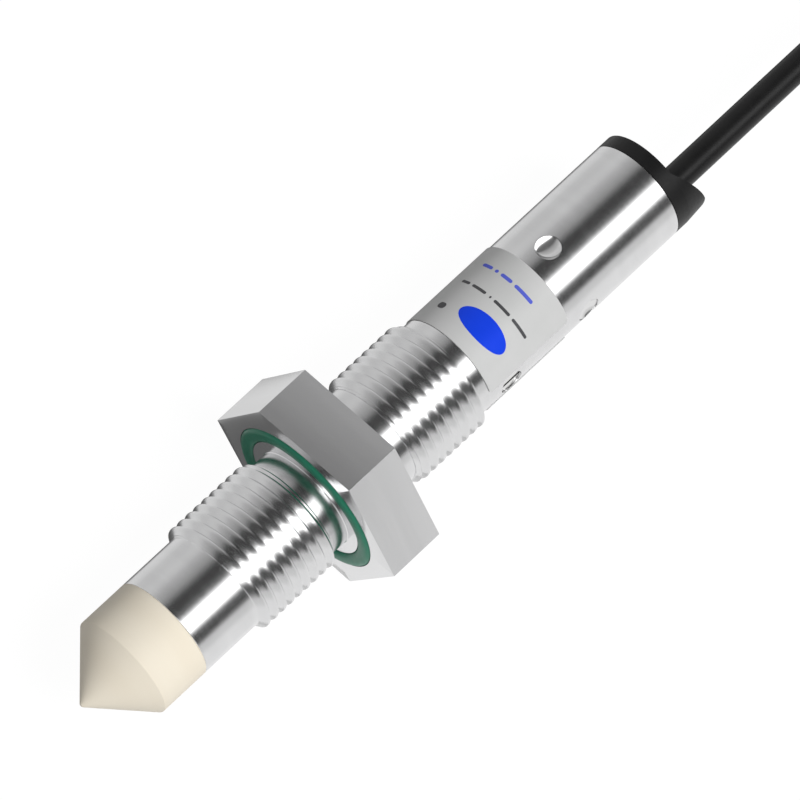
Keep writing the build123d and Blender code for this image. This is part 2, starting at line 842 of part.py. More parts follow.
def make_wire_tips():
    """The bare tinned ends of the three cores."""
    tips = []
    for index in range(3):
        points = free_core_points(index)
        direction = (points[-1] - points[-2]).normalized()
        plane = Plane(origin=points[-1] + direction * seat_gap, z_dir=direction)
        tips.append(extrude(plane * Circle(bare_wire_radius), amount=bare_wire_length))
    return tips


def make_parts():
    parts = {
        "housing": make_housing(),
        "sensing_tip": make_sensing_tip(),
        "tip_seal": make_tip_seal(),
        "face_seal": make_face_seal(),
        "sensing_electrode": make_sensing_electrode(),
        "insulator_spool": make_insulator_spool(),
        "guard_ring": make_guard_ring(),
        "electrode_pin": make_electrode_pin(),
        "guard_lead": make_guard_lead(),
        "board_holder": make_board_holder(),
        "circuit_board": make_circuit_board(),
        "oscillator_chip": make_oscillator_chip(),
        "controller_chip": make_controller_chip(),
        "voltage_regulator": make_voltage_regulator(),
        "output_transistor": make_output_transistor(),
        "protection_diode": make_protection_diode(),
        "chip_capacitors": make_chip_capacitors(),
        "chip_resistors": make_chip_resistors(),
        "solder_pads": make_solder_pads(),
        "status_led_near": near_face(window_x) * make_status_led(),
        "status_led_far": far_face(window_x) * make_status_led(),
        "light_guide": make_light_guide(),
        "trimmer_body": make_trimmer_body(),
        "trimmer_screw": make_trimmer_screw(),
        "end_cap": make_end_cap(),
        "cap_seal": make_cap_seal(),
        "cable_ferrule": make_cable_ferrule(),
        "label": make_label(),
        "cable": make_cable(),
        "cable_coil": make_cable_coil(),
        "cable_tie": make_cable_tie(),
        "wire_tips": make_wire_tips(),
    }
    for number, angle in enumerate(window_angles(), start=1):
        parts[f"led_window_{number}"] = make_led_window(angle)
    for index, name in enumerate(("brown", "black", "blue")):
        parts[f"inner_core_{name}"] = make_inner_core(index)
        parts[f"core_{name}"] = make_free_core(index)
    return parts


def main():
    os.makedirs("parts", exist_ok=True)
    for name, shape in make_parts().items():
        solid = Compound(children=shape) if isinstance(shape, list) else shape
        export_step(solid, f"parts/{name}.step")


main()
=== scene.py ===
import math
import bmesh
import bpy
from mathutils import Matrix, Vector


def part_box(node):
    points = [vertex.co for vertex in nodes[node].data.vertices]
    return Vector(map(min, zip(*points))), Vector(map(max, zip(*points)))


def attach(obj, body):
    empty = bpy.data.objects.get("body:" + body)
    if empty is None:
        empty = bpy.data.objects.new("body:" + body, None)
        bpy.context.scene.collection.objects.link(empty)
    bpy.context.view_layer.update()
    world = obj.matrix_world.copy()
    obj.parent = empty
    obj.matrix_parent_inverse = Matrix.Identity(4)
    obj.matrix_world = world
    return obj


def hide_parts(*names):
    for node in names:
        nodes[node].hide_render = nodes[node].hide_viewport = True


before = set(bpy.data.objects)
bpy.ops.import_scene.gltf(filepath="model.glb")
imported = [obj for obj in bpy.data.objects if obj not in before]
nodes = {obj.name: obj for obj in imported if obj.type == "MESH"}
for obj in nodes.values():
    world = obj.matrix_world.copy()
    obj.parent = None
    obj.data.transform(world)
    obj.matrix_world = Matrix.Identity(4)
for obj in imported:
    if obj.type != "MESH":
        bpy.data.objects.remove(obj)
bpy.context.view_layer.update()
scene = bpy.context.scene

# Sizes are written in millimetres, as in the CAD, and turned into metres where a mesh is made
mm = 0.001

# Places along the axis, and radii
tip_apex = -27.95
cone_base = -22.7
tip_seam = -17.6
front_thread_start = -11.9
front_neck_start = -1.9
hex_thickness = 5.73
rear_neck_end = 8.63
rear_thread_end = 17.2
barrel_end = 43.0
body_radius = 5.25
thread_radius = 6.0
bore_radius = 4.5
collar_radius = 3.8
collar_front = -7.98
collar_rear = -6.48
hex_half_width = 9.5
floor_z = -hex_half_width
window_x = 31.1
window_count = 4
window_radius = 1.25
trimmer_x = 21.0
trimmer_angle = 180
face_seal_radius = 7.25

# Fineness of turned pieces, and the distance in metres within which points are joined
columns = 192
joined_within = 1e-7


def polar(x, radius, angle):
    """A point at a radius and an angle in degrees from +Y towards +Z, in metres."""
    turn = math.radians(angle)
    return Vector((x * mm, radius * math.cos(turn) * mm, radius * math.sin(turn) * mm))


def finish_mesh(name, mesh, material, smooth_angle=30.0):
    """A smooth-shaded piece on the fixed body, with its material and slot."""
    piece = bpy.data.objects.new(name, mesh)
    scene.collection.objects.link(piece)
    for polygon in mesh.polygons:
        polygon.use_smooth = True
    mesh.set_sharp_from_angle(angle=math.radians(smooth_angle))
    mesh.materials.append(material)
    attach(piece, "root")
    return piece


def mesh_from(vertices, faces, name):
    """A mesh with doubled points joined, empty faces gone and its faces turned outwards."""
    mesh = bpy.data.meshes.new(name)
    mesh.from_pydata([tuple(v) for v in vertices], [], faces)
    work = bmesh.new()
    work.from_mesh(mesh)
    bmesh.ops.remove_doubles(work, verts=work.verts, dist=joined_within)
    bmesh.ops.dissolve_degenerate(work, edges=work.edges, dist=joined_within)
    bmesh.ops.recalc_face_normals(work, faces=work.faces)
    work.to_mesh(mesh)
    work.free()
    return mesh


def rings_to_faces(rings, closed_along=False):
    """Quads between closed rings of the same number of points."""
    count = len(rings[0])
    faces = []
    for i in range(len(rings) if closed_along else len(rings) - 1):
        here = i * count
        after = ((i + 1) % len(rings)) * count
        for j in range(count):
            k = (j + 1) % count
            faces.append((here + j, here + k, after + k, after + j))
    return faces


def lathe(name, profile, material, closed=True, segments=columns, place=None, smooth_angle=30.0):
    """A piece turned about X from (x, radius) pairs, placed by a matrix if one is given."""
    rings = []
    for x, radius in profile:
        rings.append([polar(x, radius, 360 * j / segments) for j in range(segments)])
    vertices = [v for ring_points in rings for v in ring_points]
    if place is not None:
        vertices = [place @ v for v in vertices]
    mesh = mesh_from(vertices, rings_to_faces(rings, closed_along=closed), name)
    return finish_mesh(name, mesh, material, smooth_angle)


def arc(centre_x, centre_r, radius, start, end, steps):
    """Points of an arc in the (x, radius) half plane, angles from +x towards +radius."""
    points = []
    for i in range(steps + 1):
        turn = math.radians(start + (end - start) * i / steps)
        points.append((centre_x + radius * math.cos(turn), centre_r + radius * math.sin(turn)))
    return points


# Camera at the photograph's viewing angle; its clipping distances are in metres
camera_sensor_width = 36.0
camera_lens = 239.93
camera_near = 0.01
camera_far = 20.0
camera_right = Vector((0.6947, -0.7193, 0.0043))
camera_up = Vector((0.6437, 0.6243, 0.4426))
camera_back = Vector((-0.3211, -0.3047, 0.8967))
camera_place = Vector((-139.99, -144.29, 426.66))


def make_camera():
    """The camera, turned by the directions of its own right, up and back."""
    camera_data = bpy.data.cameras.new("camera")
    camera_data.sensor_fit = "HORIZONTAL"
    camera_data.sensor_width = camera_sensor_width
    camera_data.lens = camera_lens
    camera_data.clip_start = camera_near
    camera_data.clip_end = camera_far
    camera = bpy.data.objects.new("camera", camera_data)
    scene.collection.objects.link(camera)
    camera_turn = Matrix((camera_right, camera_up, camera_back)).transposed().to_4x4()
    camera.matrix_world = Matrix.Translation(camera_place * mm) @ camera_turn
    scene.camera = camera


make_camera()

# Figures that all finishes share
broad_scale_share = 0.12
fine_detail = 4.0
coat_roughness = 0.12


def new_material(name):
    """A material with its node tree and its shader."""
    material = bpy.data.materials.new(name)
    material.use_nodes = True
    return material, material.node_tree, material.node_tree.nodes["Principled BSDF"]


def object_place(tree, scale):
    """Object coordinates, scaled the same or by axis."""
    place = tree.nodes.new("ShaderNodeTexCoord")
    mapping = tree.nodes.new("ShaderNodeMapping")
    mapping.inputs["Scale"].default_value = scale
    tree.links.new(place.outputs["Object"], mapping.inputs["Vector"])
    return mapping.outputs["Vector"]


def noise(tree, vector, scale, detail=3.0):
    """A soft random pattern from 0 to 1."""
    texture = tree.nodes.new("ShaderNodeTexNoise")
    texture.inputs["Scale"].default_value = scale
    texture.inputs["Detail"].default_value = detail
    texture.inputs["Roughness"].default_value = 0.5
    tree.links.new(vector, texture.inputs["Vector"])
    return texture.outputs["Fac"]


def mapped(tree, value, low, high, from_low=0.3, from_high=0.7):
    """A value carried from one range to another."""
    node = tree.nodes.new("ShaderNodeMapRange")
    node.inputs["From Min"].default_value = from_low
    node.inputs["From Max"].default_value = from_high
    node.inputs["To Min"].default_value = low
    node.inputs["To Max"].default_value = high
    tree.links.new(value, node.inputs["Value"])
    return node.outputs["Result"]


def two_colours(tree, value, first, second):
    """A colour between two, by a value."""
    node = tree.nodes.new("ShaderNodeMix")
    node.data_type = "RGBA"
    tree.links.new(value, node.inputs["Factor"])
    node.inputs["A"].default_value = (*first, 1.0)
    node.inputs["B"].default_value = (*second, 1.0)
    return node.outputs["Result"]


def bump(tree, shader, height, strength, distance):
    """Small dents in a surface, by a height."""
    node = tree.nodes.new("ShaderNodeBump")
    node.inputs["Strength"].default_value = strength
    node.inputs["Distance"].default_value = distance
    tree.links.new(height, node.inputs["Height"])
    tree.links.new(node.outputs["Normal"], shader.inputs["Normal"])


def varied(
    name, first, second, roughness, grain=1500.0, depth=0.00001, strength=0.3, stretch=(1.0, 1.0, 1.0),
    metallic=0.0, coat=0.0, spread=0.04, transmission=0.0, specular=0.5,
):
    """A finish with a little change of colour, a fine grain and an uneven gloss."""
    material, tree, shader = new_material(name)
    vector = object_place(tree, stretch)
    broad = noise(tree, vector, grain * broad_scale_share)
    fine = noise(tree, vector, grain, detail=fine_detail)
    colour = two_colours(tree, mapped(tree, broad, 0.0, 1.0), first, second)
    tree.links.new(colour, shader.inputs["Base Color"])
    gloss = mapped(tree, fine, roughness - spread, roughness + spread)
    tree.links.new(gloss, shader.inputs["Roughness"])
    shader.inputs["Metallic"].default_value = metallic
    shader.inputs["Coat Weight"].default_value = coat
    shader.inputs["Coat Roughness"].default_value = coat_roughness
    shader.inputs["Transmission Weight"].default_value = transmission
    shader.inputs["Specular IOR Level"].default_value = specular
    bump(tree, shader, fine, strength, depth)
    return material


steel = varied("turned_steel", (0.70, 0.70, 0.705), (0.74, 0.74, 0.745), 0.19, grain=900.0, depth=0.000002,
               strength=0.25, stretch=(6.0, 0.4, 0.4), metallic=1.0, spread=0.02)
cream_plastic = varied("cream_plastic", (0.86, 0.785, 0.65), (0.885, 0.815, 0.685), 0.5, grain=1200.0,
                       depth=0.000004, strength=0.2, stretch=(3.0, 0.5, 0.5), specular=0.25)
green_rubber = varied("green_rubber", (0.022, 0.215, 0.128), (0.03, 0.245, 0.15), 0.36, grain=2600.0,
                      depth=0.000006, strength=0.25, specular=0.2)
black_rubber = varied("black_rubber", (0.012, 0.012, 0.012), (0.02, 0.02, 0.02), 0.5, grain=2600.0)
cap_plastic = varied("cap_plastic", (0.009, 0.009, 0.0092), (0.013, 0.013, 0.0132), 0.42, grain=3800.0,
                     depth=0.000008, strength=0.35, specular=0.2)
jacket = varied("cable_jacket", (0.009, 0.009, 0.0092), (0.013, 0.013, 0.0132), 0.36, grain=3200.0,
                depth=0.000008, strength=0.35, specular=0.22)
label_film = varied("label_film", (0.58, 0.585, 0.58), (0.62, 0.62, 0.62), 0.4, grain=1800.0,
                    depth=0.000002, strength=0.15, specular=0.3)
print_blue = varied("print_blue", (0.006, 0.05, 0.72), (0.009, 0.06, 0.80), 0.42, grain=1800.0,
                    specular=0.2)
print_text_blue = varied("print_text_blue", (0.10, 0.13, 0.62), (0.12, 0.15, 0.68), 0.42, grain=1800.0,
                         specular=0.2)
print_dark = varied("print_dark", (0.07, 0.07, 0.075), (0.09, 0.09, 0.095), 0.45, grain=1800.0,
                    specular=0.2)
window_plastic = varied("window_plastic", (0.70, 0.70, 0.70), (0.74, 0.74, 0.74), 0.1, grain=700.0,
                        depth=0.000001, coat=1.0, spread=0.02, metallic=0.85)
brass = varied("brass", (0.72, 0.50, 0.20), (0.78, 0.56, 0.25), 0.24, grain=1500.0, metallic=1.0)
tinned = varied("tinned_copper", (0.70, 0.69, 0.66), (0.78, 0.76, 0.72), 0.28, grain=1500.0, metallic=1.0)
insulator = varied("insulator_plastic", (0.72, 0.70, 0.64), (0.78, 0.76, 0.70), 0.5)
laminate = varied("board_laminate", (0.02, 0.16, 0.06), (0.03, 0.20, 0.08), 0.4, grain=2400.0)
chip_black = varied("chip_plastic", (0.02, 0.02, 0.022), (0.035, 0.035, 0.037), 0.55, grain=3000.0)
ceramic = varied("chip_ceramic", (0.36, 0.27, 0.17), (0.45, 0.35, 0.24), 0.5, grain=2400.0)
lamp_plastic = varied("lamp_plastic", (0.86, 0.70, 0.17), (0.92, 0.77, 0.22), 0.3)
guide_plastic = varied("guide_plastic", (0.75, 0.77, 0.78), (0.82, 0.83, 0.84), 0.15, transmission=0.4)
trimmer_plastic = varied("trimmer_plastic", (0.09, 0.09, 0.11), (0.11, 0.11, 0.13), 0.45)
trimmer_metal = varied("trimmer_metal", (0.73, 0.73, 0.72), (0.77, 0.77, 0.76), 0.2, metallic=1.0)
brown_core = varied("core_brown", (0.13, 0.055, 0.025), (0.17, 0.07, 0.035), 0.42)
black_core = varied("core_black", (0.013, 0.013, 0.014), (0.02, 0.02, 0.021), 0.42)
blue_core = varied("core_blue", (0.02, 0.09, 0.36), (0.03, 0.12, 0.42), 0.42)
tie_plastic = varied("tie_plastic", (0.02, 0.02, 0.021), (0.03, 0.03, 0.031), 0.45)

# Cord: the route's points as in the CAD, then the hank's turns
cable_radius = 1.4
cable_y = -1.5693
cable_z = -0.5712
lying_z = -7.75
route = [
    (39.7, cable_y, cable_z),
    (61.9, cable_y, cable_z),
    (70.3, cable_y, cable_z),
    (82.3, -9.0, lying_z),
    (92.25, -9.0, lying_z),
]
hank_near_x = 101.45
hank_far_x = 145.45
hank_y = 4.95
hank_mean_radius = 11.2
outer_turn = 13.95
inner_turn = 8.45
hank_layers = 4
hank_columns = 3
top_layer_z = 0.55
over_layer_z = 3.35
over_tie_lift = 0.4
fold_steps = 6
cord_fineness = 6

# A turn moves to the next one's place in one of five stretches: the far fold's first and second
# half, the run back, and the near fold's first and second half. Later turns move first, so that
# each finds its place empty. The last turn climbs onto the top.
far_fold_stretch = 0
run_back_stretch = 2
near_fold_stretch = 3
moving_stretch = [4, 4, 4, 3, 2, 2, 2, 1, 0, 0, 0, 0]
outward_on_top_stretch = 1


def turn_place(number):
    """Radius and height of a turn, counted from the outer bottom one."""
    if number >= hank_layers * hank_columns:
        return hank_mean_radius, over_layer_z
    column, level = divmod(number, hank_layers)
    if column % 2:
        level = hank_layers - 1 - level
    radius = outer_turn + (inner_turn - outer_turn) * column / (hank_columns - 1)
    return radius, lying_z + (top_layer_z - lying_z) * level / (hank_layers - 1)


def moved(number, stretch, share):
    """Radius and height of a turn while it moves to the next one's place."""
    here = turn_place(number)
    after = turn_place(number + 1)
    last = number == len(moving_stretch) - 1
    values = []
    for index in range(2):
        own = outward_on_top_stretch if last and index == 0 else moving_stretch[number]
        part = share if stretch == own else float(stretch > own)
        values.append(here[index] + (after[index] - here[index]) * part)
    return values


def fold_points(number, centre_x, first_angle, first_stretch):
    """Half a turn round one end of the hank."""
    points = []
    step_angle = 180 / fold_steps
    half_fold = fold_steps // 2
    for step in range(fold_steps):
        share = (step % half_fold + 1) / half_fold
        radius, z = moved(number, first_stretch + step // half_fold, share)
        reach = radius / math.cos(math.radians(step_angle / 2))
        turn = math.radians(first_angle + step_angle * (step + 0.5))
        points.append(Vector((centre_x + reach * math.cos(turn), hank_y + reach * math.sin(turn), z)))
    return points


def hank_points():
    """The cord's points through all turns of the hank."""
    points = []
    for number in range(hank_layers * hank_columns):
        radius, z = turn_place(number)
        points += [Vector((x, hank_y - radius, z)) for x in (hank_near_x, hank_far_x)]
        points += fold_points(number, hank_far_x, -90, far_fold_stretch)
        lift = over_tie_lift if number == len(moving_stretch) - 1 else 0.0
        for x, share in ((hank_far_x, 0.0), (hank_near_x, 1.0)):
            radius, z = moved(number, run_back_stretch, share)
            points.append(Vector((x, hank_y + radius, z + lift)))
        points += fold_points(number, hank_near_x, 90, near_fold_stretch)
    points.append(Vector((hank_near_x, hank_y - hank_mean_radius, over_layer_z)))
    return points


def make_lead():
    """The lead as one smooth curve through the route and the hank."""
    cord_points = [Vector(point) for point in route] + hank_points()
    cord_curve = bpy.data.curves.new("lead", "CURVE")
    cord_curve.dimensions = "3D"
    spline = cord_curve.splines.new("NURBS")
    spline.points.add(len(cord_points) - 1)
    for point, place in zip(spline.points, cord_points):
        point.co = (place.x * mm, place.y * mm, place.z * mm, 1.0)
    spline.order_u = 3
    spline.use_endpoint_u = True
    spline.resolution_u = cord_fineness
    cord_curve.bevel_depth = cable_radius * mm
    cord_curve.bevel_resolution = cord_fineness
    cord_curve.use_fill_caps = True
    cord_curve.materials.append(jacket)
    lead = bpy.data.objects.new("lead", cord_curve)
    scene.collection.objects.link(lead)
    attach(lead, "root")
    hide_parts("cable", "cable_coil")


make_lead()

# Housing: its broken edges, the hexagon's corners, and the groove for the face seal
turned_edge = 0.06
hex_edge = 0.035
hex_edge_middle = 0.3
hex_corner_radius = 0.05
hex_corner_offsets = (0.05, 0.1, 0.16)
groove_half_width = 0.8
groove_depth = 1.02


def hexagon_radius(angle):
    """Radius of the hexagon at an angle, its corners along the axis rounded a little."""
    off = (angle % 60) - 30
    plain = hex_half_width / math.cos(math.radians(off))
    corner_place = (hex_half_width - hex_corner_radius) / math.cos(math.radians(30))
    turn = math.radians(30 - abs(off))
    reach = corner_place * math.cos(turn)
    inside = hex_corner_radius**2 - (corner_place * math.sin(turn)) ** 2
    if inside <= 0:
        return plain
    return min(plain, reach + math.sqrt(inside))


def inset_hexagon(inset):
    """A rule for the hexagon's radius, drawn in by an inset."""
    return lambda angle: hexagon_radius(angle) - inset


def housing_angles():
    """Even steps round the housing, with more of them at the hexagon's corners."""
    angles = [360 * j / columns for j in range(columns)]
    for corner in range(0, 360, 60):
        for off in hex_corner_offsets:
            angles += [(corner + off) % 360, (corner - off) % 360]
    return sorted(angles)


column_angles = housing_angles()


def ring(x, radius):
    """One ring of the housing; radius is a number or a rule by angle."""
    if callable(radius):
        return [polar(x, radius(angle), angle) for angle in column_angles]
    return [polar(x, radius, angle) for angle in column_angles]


# Threads: crests and flanks, where each thread's crest lies in its pitch, and the front one's start
thread_pitch = 1.0
rows_per_pitch = 24
crest_half_width = 0.16
crest_edge_slope = 35.0
flank_slope = 58.0
end_slope = 58.0
front_crest_phase = 0.13
rear_crest_phase = 0.43
front_start_reach = 0.55
front_start_lean = 0.25
front_start_angle = 18.7


def thread_drop(phase):
    """How far the surface lies under the crests: crowned crests, steep flanks and narrow roots."""
    off = abs((phase + 0.5) % 1.0 - 0.5) * thread_pitch
    crown = crest_half_width / math.sin(math.radians(crest_edge_slope))
    if off < crest_half_width:
        return crown - math.sqrt(crown**2 - off**2)
    edge = crown - math.sqrt(crown**2 - crest_half_width**2)
    return edge + (off - crest_half_width) * math.tan(math.radians(flank_slope))


def leaning_start(angle):
    """The front thread begins later on one side, where its first turn runs out."""
    lean = front_start_lean * math.cos(math.radians(angle - front_start_angle))
    return front_thread_start + front_start_reach - lean


def thread_strip(start, end, crest_phase, rise_from=None):
    """A right-hand thread as a grid that follows its own helix, ended by steep cones."""
    rise = math.tan(math.radians(end_slope))
    last_row = int((end - start) / thread_pitch + 1) * rows_per_pitch + 2
    grid = []
    for angle in column_angles:
        rise_start = rise_from(angle) if rise_from else start
        column = []
        for row in range(-rows_per_pitch, last_row):
            x = start + thread_pitch * (row / rows_per_pitch + angle / 360)
            x = min(max(x, start), end)
            radius = thread_radius - thread_drop(row / rows_per_pitch + crest_phase)
            radius = max(body_radius, min(radius, body_radius + min(x - rise_start, end - x) * rise))
            column.append(polar(x, radius, angle))
        grid.append(column)
    vertices = [v for column in grid for v in column]
    rows = len(grid[0])
    faces = []
    for j in range(len(column_angles)):
        wrap = j == len(column_angles) - 1
        k = 0 if wrap else j + 1
        skip = rows_per_pitch if wrap else 0
        for i in range(rows - 1):
            if i + skip + 1 >= rows:
                continue
            faces.append((j * rows + i, j * rows + i + 1, k * rows + i + skip + 1, k * rows + i + skip))
    return vertices, faces


def add_piece(vertices, faces, more_vertices, more_faces):
    """Adds points and the faces between them to lists."""
    base = len(vertices)
    vertices.extend(more_vertices)
    faces.extend(tuple(base + index for index in face) for face in more_faces)


def add_rings(vertices, faces, profile):
    """Adds a turned stretch from (x, radius) pairs."""
    rings = [ring(x, radius) for x, radius in profile]
    add_piece(vertices, faces, [v for r in rings for v in r], rings_to_faces(rings))


def housing_front():
    """Sleeve, threads, necks and hexagon, with the bore and its collar."""
    vertices = []
    faces = []
    groove_inner = face_seal_radius - groove_half_width
    groove_outer = face_seal_radius + groove_half_width
    hex_break = hex_edge * hex_edge_middle
    add_rings(vertices, faces, [
        (collar_front, collar_radius),
        (collar_front, bore_radius),
        (tip_seam, bore_radius),
        (tip_seam, body_radius - turned_edge),
        (tip_seam + turned_edge, body_radius),
        (front_thread_start, body_radius),
    ])
    front_thread = thread_strip(front_thread_start, front_neck_start, front_crest_phase, leaning_start)
    add_piece(vertices, faces, *front_thread)
    add_rings(vertices, faces, [
        (front_neck_start, body_radius),
        (-turned_edge, body_radius),
        (0.0, body_radius + turned_edge),
        (0.0, groove_inner),
        (groove_depth, groove_inner),
        (groove_depth, groove_outer),
        (0.0, groove_outer),
        (0.0, inset_hexagon(hex_edge)),
        (hex_break, inset_hexagon(hex_break)),
        (hex_edge, hexagon_radius),
        (hex_thickness - hex_edge, hexagon_radius),
        (hex_thickness - hex_break, inset_hexagon(hex_break)),
        (hex_thickness, inset_hexagon(hex_edge)),
        (hex_thickness, body_radius + turned_edge),
        (hex_thickness + turned_edge, body_radius),
        (rear_neck_end, body_radius),
    ])
    add_piece(vertices, faces, *thread_strip(rear_neck_end, rear_thread_end, rear_crest_phase))
    add_rings(vertices, faces, [
        (rear_thread_end, bore_radius),
        (collar_rear, bore_radius),
        (collar_rear, collar_radius),
        (collar_front, collar_radius),
    ])
    return mesh_from(vertices, faces, "housing_front")


# Rods that cut the openings: their middle's distance from the axis, and their length
cutter_middle = 4.1
cutter_length = 3.8
cutter_segments = 72


def opening_cutter(x, angle):
    """A rod through the barrel's wall, at a place along it and an angle round it."""
    work = bmesh.new()
    turn = Matrix.Rotation(math.radians(angle), 4, "X") @ Matrix.Rotation(math.radians(-90), 4, "X")
    place = Matrix.Translation((x * mm, 0, 0)) @ turn @ Matrix.Translation((0, 0, cutter_middle * mm))
    bmesh.ops.create_cone(work, cap_ends=True, segments=cutter_segments, radius1=window_radius * mm,
                          radius2=window_radius * mm, depth=cutter_length * mm, matrix=place)
    mesh = bpy.data.meshes.new("cutter")
    work.to_mesh(mesh)
    work.free()
    cutter = bpy.data.objects.new("cutter", mesh)
    scene.collection.objects.link(cutter)
    return cutter


def cut_barrel():
    """The barrel as a closed tube, cut for the windows and the trimmer."""
    vertices = []
    faces = []
    add_rings(vertices, faces, [
        (rear_thread_end, body_radius),
        (barrel_end - turned_edge, body_radius),
        (barrel_end, body_radius - turned_edge),
        (barrel_end, bore_radius),
        (rear_thread_end, bore_radius),
        (rear_thread_end, body_radius),
    ])
    tube = bpy.data.objects.new("barrel_tube", mesh_from(vertices, faces, "barrel_tube"))
    scene.collection.objects.link(tube)
    openings = [(window_x, 360 * number / window_count) for number in range(window_count)]
    openings.append((trimmer_x, trimmer_angle))
    cutters = []
    for x, angle in openings:
        cutter = opening_cutter(x, angle)
        cutters.append(cutter)
        cut = tube.modifiers.new("cut", "BOOLEAN")
        cut.operation = "DIFFERENCE"
        cut.solver = "EXACT"
        cut.object = cutter
    bpy.context.view_layer.update()
    depsgraph = bpy.context.evaluated_depsgraph_get()
    cut_mesh = bpy.data.meshes.new_from_object(tube.evaluated_get(depsgraph))
    for helper in cutters + [tube]:
        bpy.data.objects.remove(helper)
    return cut_mesh


def housing_mesh():
    """The housing's front and its cut barrel as one mesh."""
    front = housing_front()
    work = bmesh.new()
    work.from_mesh(cut_barrel())
    seam = rear_thread_end * mm
    ends = [f for f in work.faces if all(abs(v.co.x - seam) < joined_within for v in f.verts)]
    bmesh.ops.delete(work, geom=ends, context="FACES")
    work.from_mesh(front)
    bmesh.ops.remove_doubles(work, verts=work.verts, dist=joined_within)
    bmesh.ops.recalc_face_normals(work, faces=work.faces)
    mesh = bpy.data.meshes.new("housing_piece")
    work.to_mesh(mesh)
    work.free()
    return mesh


# Normals: how near to the barrel's surface a point counts as on it, in metres, and how much of its
# own slope a thread's face keeps
housing_smooth_angle = 28
barrel_start_margin = 0.01
on_surface_within = 2e-6
above_root = 0.02
thread_normal_share = 0.32


def round_normals(mesh):
    """Even normals on the barrel, whose faces the openings cut up, and softened ones on the threads."""
    for polygon in mesh.polygons:
        polygon.use_smooth = True
    mesh.set_sharp_from_angle(angle=math.radians(housing_smooth_angle))
    normals = [Vector(corner.vector) for corner in mesh.corner_normals]
    vertex_normals = [Vector(normal.vector) for normal in mesh.vertex_normals]
    threads = ((front_thread_start, front_neck_start), (rear_neck_end, rear_thread_end))
    barrel_start = (rear_thread_end - barrel_start_margin) * mm
    for polygon in mesh.polygons:
        points = [mesh.vertices[index].co for index in polygon.vertices]
        on_barrel = all(
            p.x > barrel_start and abs(math.hypot(p.y, p.z) - body_radius * mm) < on_surface_within
            for p in points
        )
        on_thread = any(all(start * mm < p.x < end * mm for p in points) for start, end in threads)
        off_root = all(math.hypot(p.y, p.z) > (body_radius + above_root) * mm for p in points)
        for loop in polygon.loop_indices:
            index = mesh.loops[loop].vertex_index
            p = mesh.vertices[index].co
            outward = Vector((0, p.y, p.z)).normalized()
            if on_barrel:
                normals[loop] = outward
            if on_thread and off_root:
                normals[loop] = outward.lerp(vertex_normals[index], thread_normal_share).normalized()
    mesh.normals_split_custom_set(normals)


def make_housing():
    """The housing as one piece."""
    mesh = housing_mesh()
    mesh.materials.append(steel)
    round_normals(mesh)
    housing = bpy.data.objects.new("housing_piece", mesh)
    scene.collection.objects.link(housing)
    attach(housing, "root")
    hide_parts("housing")


make_housing()

# Sensing tip, with its stem and the cavity behind its nose
nose_radius = 0.35
nose_steps = 8
stem_radius = 4.47
stem_end = -8.0
cavity_radius = 3.4
cone_wall = 1.2
cone_edge = 0.03
rim_edge = 0.05


def make_tip():
    """The tip's cone of 45 degrees, its rim and its hollow stem."""
    nose_centre = tip_apex + nose_radius * math.sqrt(2)
    cavity_apex = tip_apex + cone_wall * math.sqrt(2)
    profile = arc(nose_centre, 0, nose_radius, 180, 135, nose_steps)
    profile += [
        (cone_base - cone_edge, body_radius - cone_edge),
        (cone_base + cone_edge, body_radius),
        (tip_seam - rim_edge, body_radius),
        (tip_seam, body_radius - rim_edge),
        (tip_seam, stem_radius),
        (stem_end, stem_radius),
        (stem_end, cavity_radius),
        (cavity_apex + cavity_radius, cavity_radius),
        (cavity_apex, 0.0),
    ]
    tip = lathe("tip_piece", profile, cream_plastic, closed=False)
    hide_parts("sensing_tip")


make_tip()

# The seal in the hexagon's face is pressed a little flat and fills its groove
seal_back = 1.0
seal_front = -0.28
seal_half_width = 0.79
seal_squareness = 2.6
seal_steps = 48
seal_smooth_angle = 60.0
ring_steps = 32


def squared(value):
    """A sine or cosine drawn out towards a square's corner."""
    return math.copysign(abs(value) ** (2 / seal_squareness), value)


def face_seal_profile():
    """The seal's section, between a circle and a square."""
    middle = (seal_back + seal_front) / 2
    half_depth = (seal_back - seal_front) / 2
    points = []
    for i in range(seal_steps):
        turn = 2 * math.pi * i / seal_steps
        along = middle + half_depth * squared(math.sin(turn))
        points.append((along, face_seal_radius + seal_half_width * squared(math.cos(turn))))
    return points


face_seal = lathe("face_seal_piece", face_seal_profile(), green_rubber,
                  smooth_angle=seal_smooth_angle)
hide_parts("face_seal")


def node_ring(name, node, material):
    """A round-section ring that fills the box of the CAD ring it stands for."""
    low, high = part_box(node)
    section = (high[0] - low[0]) / mm
    mean_radius = (high[1] - low[1]) / mm / 2 - section / 2
    profile = arc((low[0] + high[0]) / mm / 2, mean_radius, section / 2, 0, 360, ring_steps)[:-1]
    piece = lathe(name, profile, material)
    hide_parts(node)


node_ring("tip_seal_piece", "tip_seal", black_rubber)
node_ring("cap_seal_piece", "cap_seal", black_rubber)

# Windows: small glossy plugs with a hollow face, evenly spaced round the barrel
plug_radius = 1.23
plug_top = 5.06
plug_bottom = 4.49
plug_segments = 64
dish_radius = 1.84
dish_steps = 12


